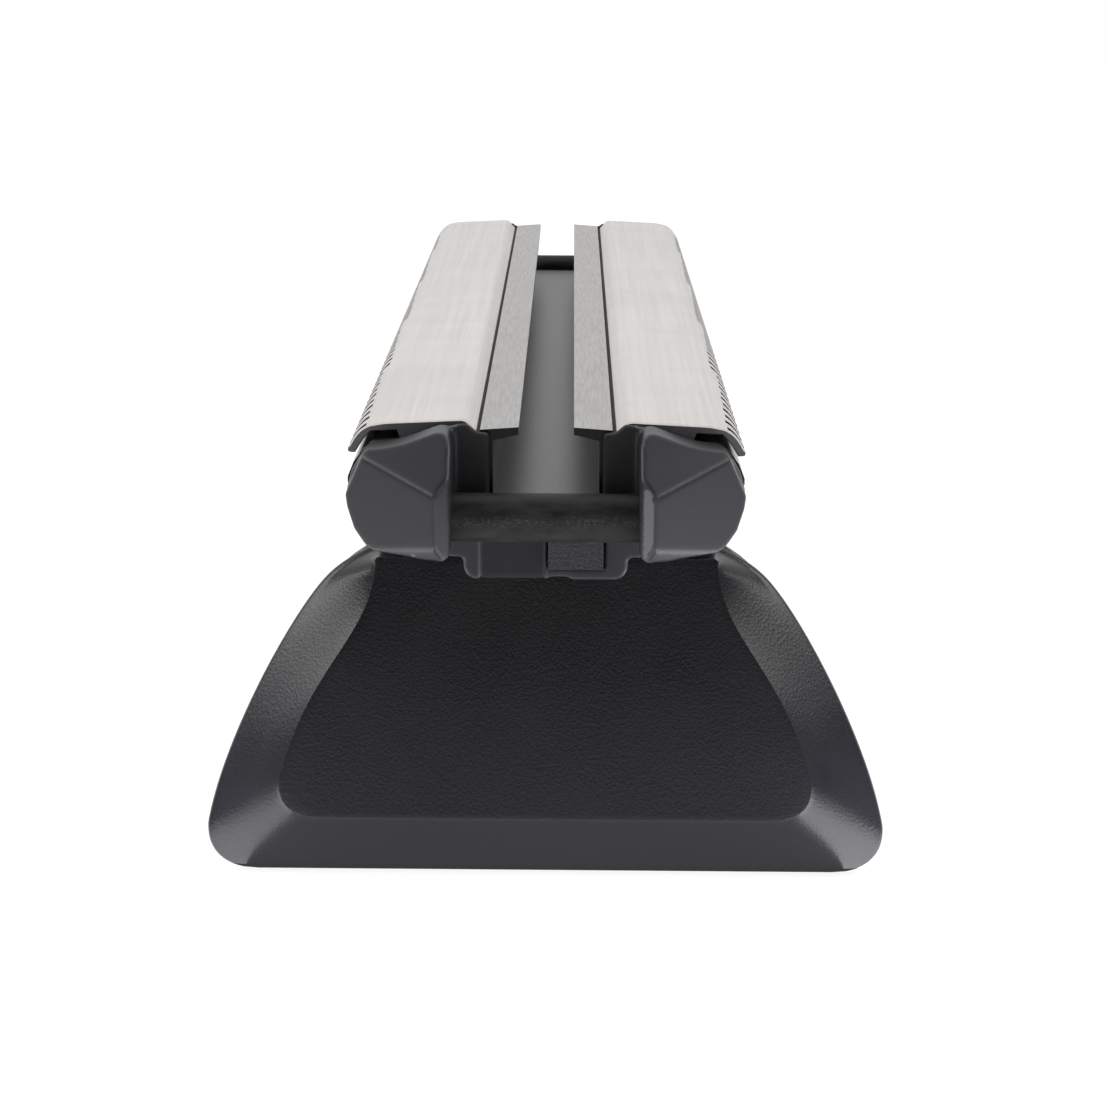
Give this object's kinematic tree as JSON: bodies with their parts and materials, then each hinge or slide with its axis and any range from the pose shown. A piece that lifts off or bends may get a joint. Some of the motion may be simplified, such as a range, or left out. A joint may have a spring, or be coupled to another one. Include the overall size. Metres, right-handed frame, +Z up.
{
  "type": "roof bar foot with load bar",
  "caption": "Wide clamp-on foot with a raised-panel cover, carrying a short T-slot roof bar with rubber strips and faceted end caps.",
  "frame": {"origin": "underside of the rubber pad, midway between the two fixed-point holes", "axes": "+Z up, +Y along the bar towards its far end, +X to the right as seen from the bar's near end"},
  "size_m": [0.145, 0.363, 0.1008],
  "materials": {
    "anodised_bar": "satin anodised, fine grain",
    "strip_rubber": "smooth extruded, pale sheen at low angles",
    "cap_plastic": "fine grain",
    "cover_plastic": "leather-like grain, semi-matte",
    "grained_plastic": "coarse spark-eroded grain",
    "black_steel": "black coated",
    "zinc_steel": "zinc plated",
    "pad_rubber": "matt"
  },
  "bodies": {
    "foot": {"cover_frame": "grained_plastic", "cover_grommets": "pad_rubber", "frame_screws": "black_steel", "tower_shell": "grained_plastic", "support_bracket": "zinc_steel", "bracket_screws": "zinc_steel", "base_plate": "zinc_steel", "base_pad": "pad_rubber", "saddle": "grained_plastic", "clamp_bolts": "zinc_steel", "clamp_washers": "zinc_steel", "clamp_nuts": "zinc_steel"},
    "bar": {"bar_extrusion": "anodised_bar", "left_strip": "strip_rubber", "right_strip": "strip_rubber", "front_end_cap": "cap_plastic", "rear_end_cap": "cap_plastic", "front_stop_tube": "black_steel", "rear_stop_tube": "black_steel", "front_slot_plate": "grained_plastic", "rear_slot_plate": "grained_plastic", "front_cap_screws": "black_steel", "rear_cap_screws": "black_steel"},
    "cover": {"cover": "cover_plastic"}
  },
  "joints": [
    {"name": "bar_slide", "type": "slide", "parent": "foot", "child": "bar", "axis": [0, -1, 0], "range_m": [0, 0.15]},
    {"name": "cover_pull", "type": "slide", "parent": "foot", "child": "cover", "axis": [0, -1, 0], "range_m": [0, 0.06]}
  ]
}
